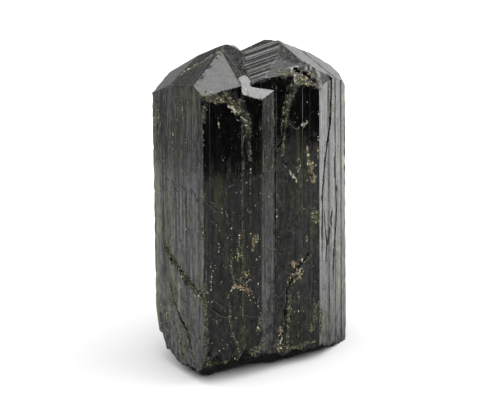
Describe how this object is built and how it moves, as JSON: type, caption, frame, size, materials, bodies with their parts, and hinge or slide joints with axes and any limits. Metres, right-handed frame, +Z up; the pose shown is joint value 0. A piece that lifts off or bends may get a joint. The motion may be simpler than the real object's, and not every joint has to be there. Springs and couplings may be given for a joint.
{
  "type": "aegirine crystal",
  "caption": "Stout prismatic aegirine crystal group: parallel intergrown black-green prisms with ribbed walls, sloping end faces, cracks and a broken foot that it stands on.",
  "frame": {"origin": "centre of the bounding box, at the level of the broken foot that the crystal rests on", "axes": "+Z up along the crystal's length, -Y out of the two wide dark front walls, +X towards the ribbed right wall"},
  "size_m": [0.0374, 0.025, 0.0602],
  "materials": {
    "aegirine": "glassy to dull black-green, ribbed along the length, with yellow-green crust in the cracks and on the edges"
  },
  "bodies": {
    "root": {"aegirine_crystal": "aegirine"}
  },
  "joints": []
}
